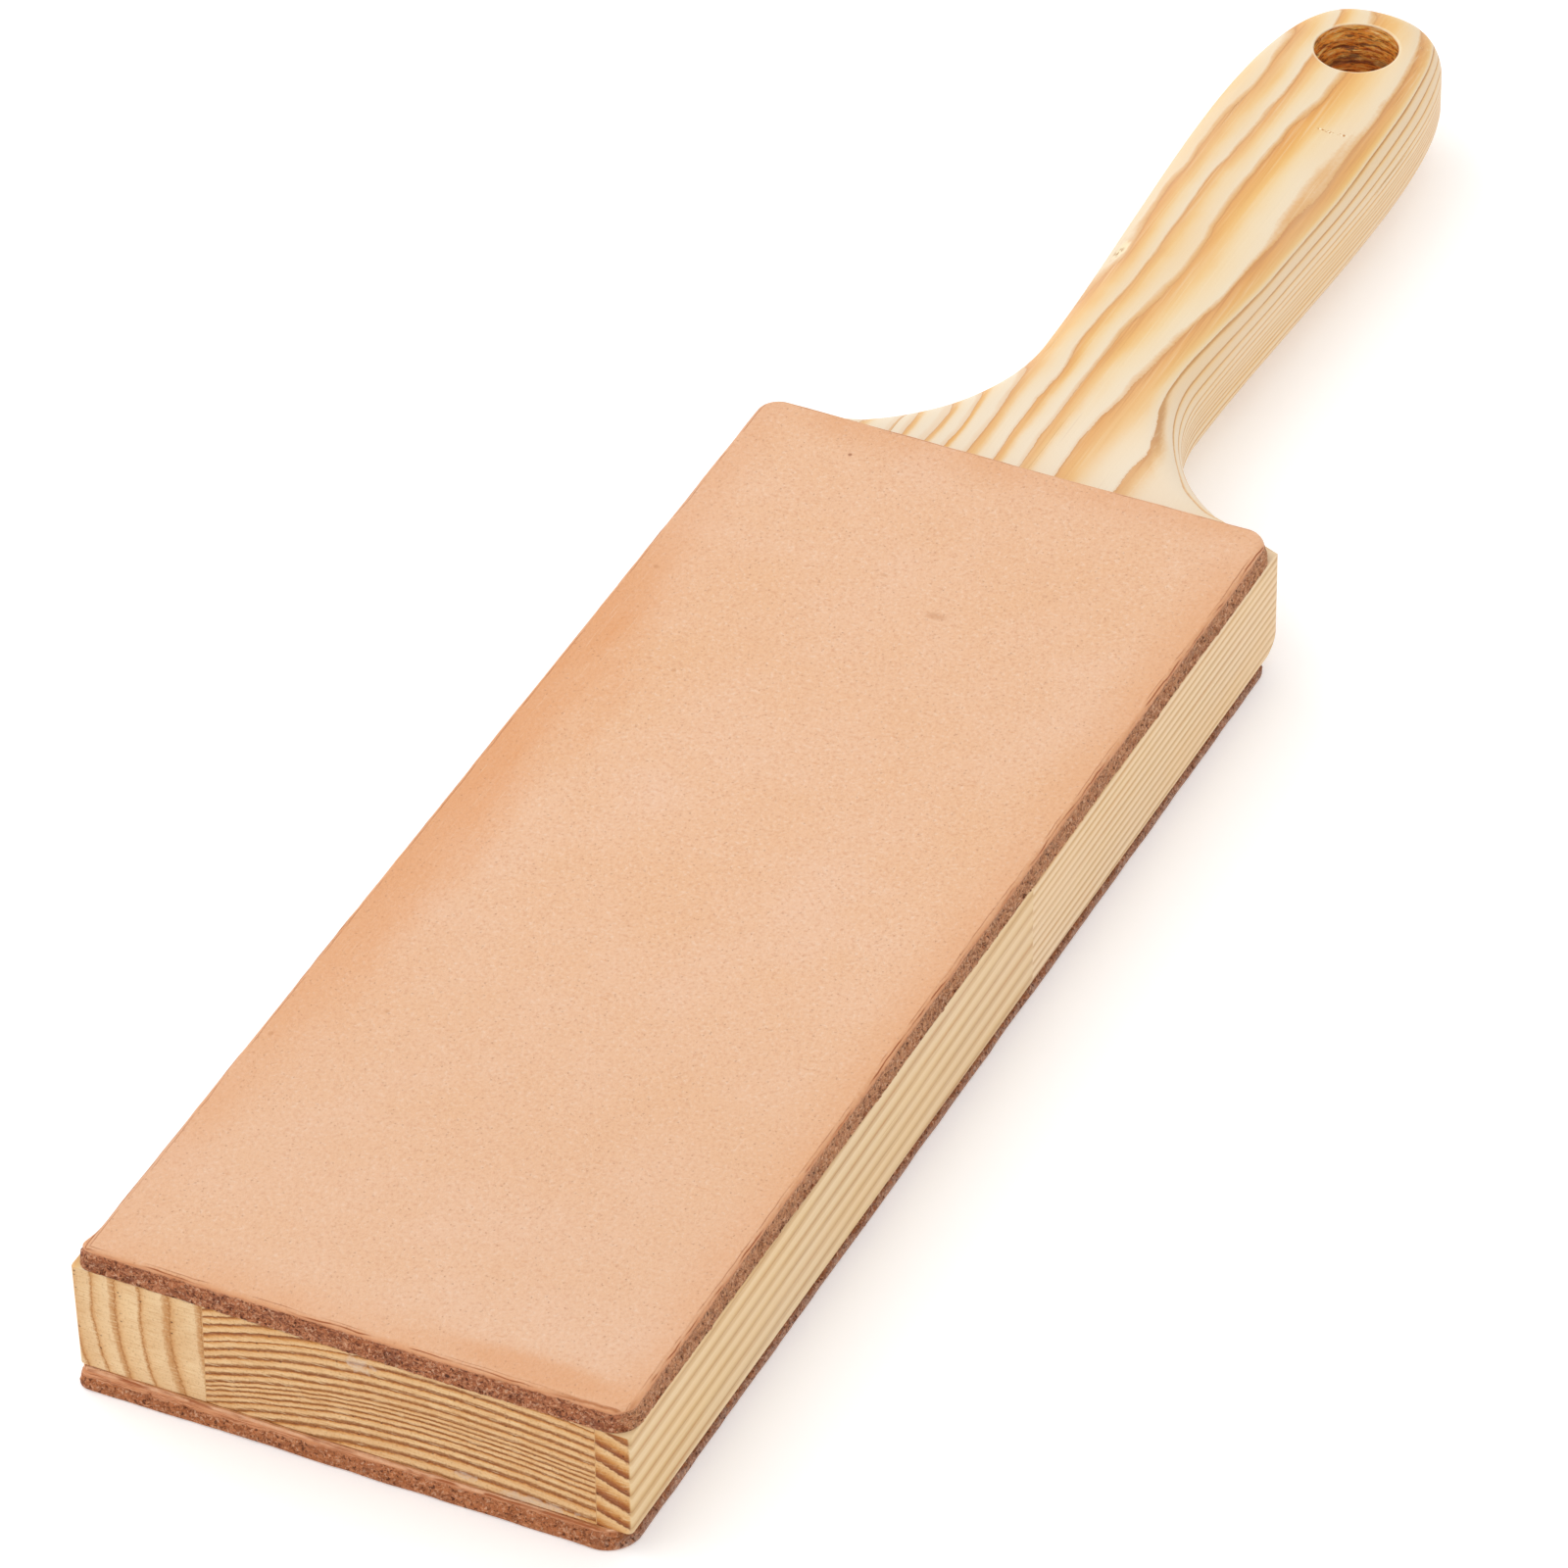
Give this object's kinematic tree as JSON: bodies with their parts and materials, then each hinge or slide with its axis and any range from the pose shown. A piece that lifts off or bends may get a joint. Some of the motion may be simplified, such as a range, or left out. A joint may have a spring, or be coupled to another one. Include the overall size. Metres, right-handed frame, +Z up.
{
  "type": "leather strop",
  "caption": "Paddle strop for carving knives: flat pine board with a shaped handle and hanging hole, smooth leather pad bonded to each face.",
  "frame": {"origin": "on the surface that the strop lies on, under the middle of its whole length and width", "axes": "+X to the right across the paddle, +Y along it towards the handle, +Z up out of the smooth leather face"},
  "size_m": [0.0762, 0.324, 0.0222],
  "materials": {
    "pine_quarter_sawn": "bare, sanded",
    "pine_flat_sawn": "bare, sanded",
    "pine_dark_ringed": "bare, sanded",
    "pine_close_ringed": "bare, sanded",
    "wood_glue": "cured glue line",
    "contact_adhesive": "cured, dull",
    "grain_leather": "vegetable tanned, smooth grain, undyed",
    "suede_leather": "vegetable tanned, flesh side out"
  },
  "bodies": {
    "root": {"left_stave": "pine_quarter_sawn", "left_glue_line": "wood_glue", "centre_stave": "pine_flat_sawn", "right_glue_line": "wood_glue", "right_stave_front": "pine_dark_ringed", "right_stave_rear": "pine_close_ringed", "top_adhesive_film": "contact_adhesive", "bottom_adhesive_film": "contact_adhesive", "top_leather": "grain_leather", "bottom_leather": "suede_leather"}
  },
  "joints": []
}
